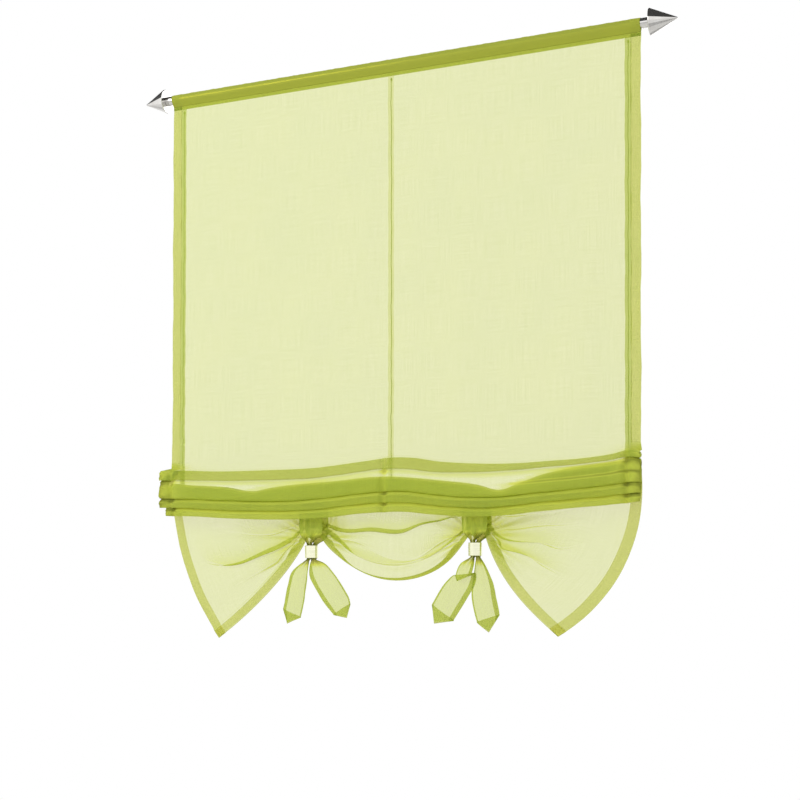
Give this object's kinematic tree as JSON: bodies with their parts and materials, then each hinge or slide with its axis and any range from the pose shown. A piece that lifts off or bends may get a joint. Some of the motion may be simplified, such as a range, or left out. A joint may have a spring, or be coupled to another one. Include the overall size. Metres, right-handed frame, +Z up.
{
  "type": "tie up curtain",
  "caption": "Sheer voile tie-up curtain on a rod with cone finials: draw tapes hold a stack of folds, and ribbons gather the hem into a swag and pointed corners.",
  "frame": {"origin": "middle of the rod, on its axis", "axes": "+X along the rod, +Z up, -Y into the room"},
  "size_m": [1.1366, 0.0673, 1.172],
  "materials": {
    "rod_metal": "satin brushed nickel",
    "finial_metal": "satin brushed nickel",
    "voile": "sheer lime green voile",
    "tape": "woven gathering tape",
    "cord": "braided draw cord",
    "ribbon": "sheer lime green voile, hemmed",
    "ring_metal": "bright metal"
  },
  "bodies": {
    "root": {"rod": "rod_metal", "finial_left": "finial_metal", "finial_right": "finial_metal", "curtain_panel": "voile", "left_draw_tape": "tape", "centre_draw_tape": "tape", "right_draw_tape": "tape", "left_draw_cord": "cord", "centre_draw_cord": "cord", "right_draw_cord": "cord", "ribbon_left_front": "ribbon", "ribbon_left_back": "ribbon", "ribbon_right_front": "ribbon", "ribbon_right_back": "ribbon", "ring_left": "ring_metal", "ring_right": "ring_metal"}
  },
  "joints": []
}
